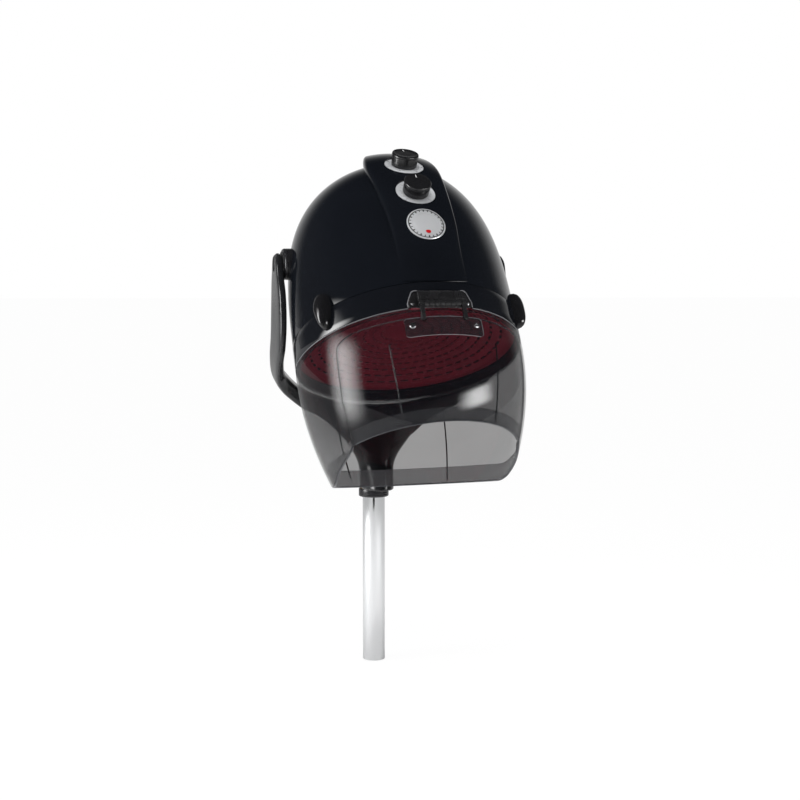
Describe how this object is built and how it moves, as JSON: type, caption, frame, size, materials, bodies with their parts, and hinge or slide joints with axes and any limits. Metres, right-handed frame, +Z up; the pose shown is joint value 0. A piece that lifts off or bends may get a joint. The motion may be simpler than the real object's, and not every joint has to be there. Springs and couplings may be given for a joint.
{
  "type": "hood hair dryer",
  "caption": "Salon hood dryer: tilting dome with smoked visor, hinged front flap, control knobs, fan and heater, on a swivelling yoke and a plain mast tube.",
  "frame": {"origin": "mast axis at the lower end of the mast tube", "axes": "+Z up along the mast, the hood's open face and flap toward -Y, +X to the right seen from the back"},
  "size_m": [0.3868, 0.4693, 0.8611],
  "materials": {
    "mast_chrome": "mirror-polished chrome plate",
    "collar_plastic": "moulded black, satin",
    "spigot_steel": "turned steel",
    "thrust_bronze": "plain bearing bronze",
    "yoke_plastic": "moulded black, gloss",
    "pivot_steel": "zinc plated",
    "pivot_cap_plastic": "moulded black",
    "hub_plastic": "moulded black, satin",
    "friction_nylon": "natural nylon",
    "hood_gloss_black": "moulded black, high gloss",
    "gland_rubber": "moulded rubber",
    "band_gloss_black": "moulded black, high gloss",
    "ear_gloss_black": "moulded black, high gloss",
    "trim_bead": "beaded black trim",
    "visor_smoke": "clear smoked acrylic",
    "flap_smoke": "clear smoked acrylic",
    "cover_gloss_black": "moulded black, high gloss",
    "dial_silver": "brushed, printed dark marks",
    "knob_plastic": "moulded black",
    "shaft_steel": "turned steel",
    "switch_phenolic": "phenolic moulding",
    "badge_silver": "satin silver, printed",
    "hinge_plastic": "moulded black",
    "leaf_smoke": "smoked clear moulding",
    "screw_steel": "bright plated",
    "duct_black": "heat-resistant black moulding",
    "bracket_zinc": "zinc plated sheet",
    "motor_steel": "grey enamel",
    "impeller_grey": "moulded grey",
    "cutout_metal": "pressed cap",
    "mica_board": "mica board",
    "heater_rod": "oxidised metal sheath",
    "diffuser_red": "translucent red moulding"
  },
  "bodies": {
    "mast": {"mast_tube": "mast_chrome", "mast_collar": "collar_plastic", "swivel_spigot": "spigot_steel", "thrust_washer": "thrust_bronze"},
    "yoke": {"yoke_frame": "yoke_plastic", "pivot_bolt_left": "pivot_steel", "pivot_bolt_right": "pivot_steel", "pivot_cap_left": "pivot_cap_plastic", "pivot_cap_right": "pivot_cap_plastic", "friction_shim_left": "friction_nylon", "friction_shim_right": "friction_nylon"},
    "hood": {"hub_boss_left": "hub_plastic", "hub_boss_right": "hub_plastic", "dome_shell": "hood_gloss_black", "cable_inlet": "gland_rubber", "brow_band": "band_gloss_black", "ear_cover_left": "ear_gloss_black", "ear_cover_right": "ear_gloss_black", "trim_ring": "trim_bead", "visor_skirt": "visor_smoke", "control_cover": "cover_gloss_black", "dial_plate_heat": "dial_silver", "dial_plate_timer": "dial_silver", "switch_heat": "switch_phenolic", "switch_timer": "switch_phenolic", "badge_disc": "badge_silver", "hinge_bracket": "hinge_plastic", "bracket_screw_left": "screw_steel", "bracket_screw_right": "screw_steel", "hinge_block": "hinge_plastic", "hinge_pin": "screw_steel", "air_duct": "duct_black", "motor_bracket": "bracket_zinc", "fan_motor": "motor_steel", "thermal_cutout": "cutout_metal", "heater_frame": "mica_board", "heater_ring_inner": "heater_rod", "heater_ring_outer": "heater_rod", "diffuser": "diffuser_red"},
    "flap": {"front_flap": "flap_smoke", "hinge_leaf": "leaf_smoke", "flap_screw_left": "screw_steel", "flap_screw_right": "screw_steel"},
    "heat_knob": {"knob_heat": "knob_plastic", "shaft_heat": "shaft_steel"},
    "timer_knob": {"knob_timer": "knob_plastic", "shaft_timer": "shaft_steel"},
    "fan": {"fan_impeller": "impeller_grey", "fan_shaft": "shaft_steel"}
  },
  "joints": [
    {"name": "yoke_swivel", "type": "hinge", "parent": "mast", "child": "yoke", "pos_m": [0, 0, 0.2995], "axis": [0, 0, 1], "range_deg": [-90, 90]},
    {"name": "hood_tilt", "type": "hinge", "parent": "yoke", "child": "hood", "pos_m": [0, -0.105, 0.68039], "axis": [-1, 0, 0], "range_deg": [-8, 30]},
    {"name": "flap_lift", "type": "hinge", "parent": "hood", "child": "flap", "pos_m": [0, -0.37173, 0.62002], "axis": [-1, 0, 0], "range_deg": [0, 105]},
    {"name": "heat_turn", "type": "hinge", "parent": "hood", "child": "heat_knob", "pos_m": [0, -0.2437, 0.79071], "axis": [0, -0.6431, 0.7658], "range_deg": [0, 270]},
    {"name": "timer_turn", "type": "hinge", "parent": "hood", "child": "timer_knob", "pos_m": [0, -0.18177, 0.83674], "axis": [0, -0.4288, 0.9034], "range_deg": [0, 300]},
    {"name": "fan_spin", "type": "hinge", "parent": "hood", "child": "fan", "pos_m": [0, -0.10743, 0.69371], "axis": [0, 0.4613, 0.8873], "continuous": true}
  ]
}
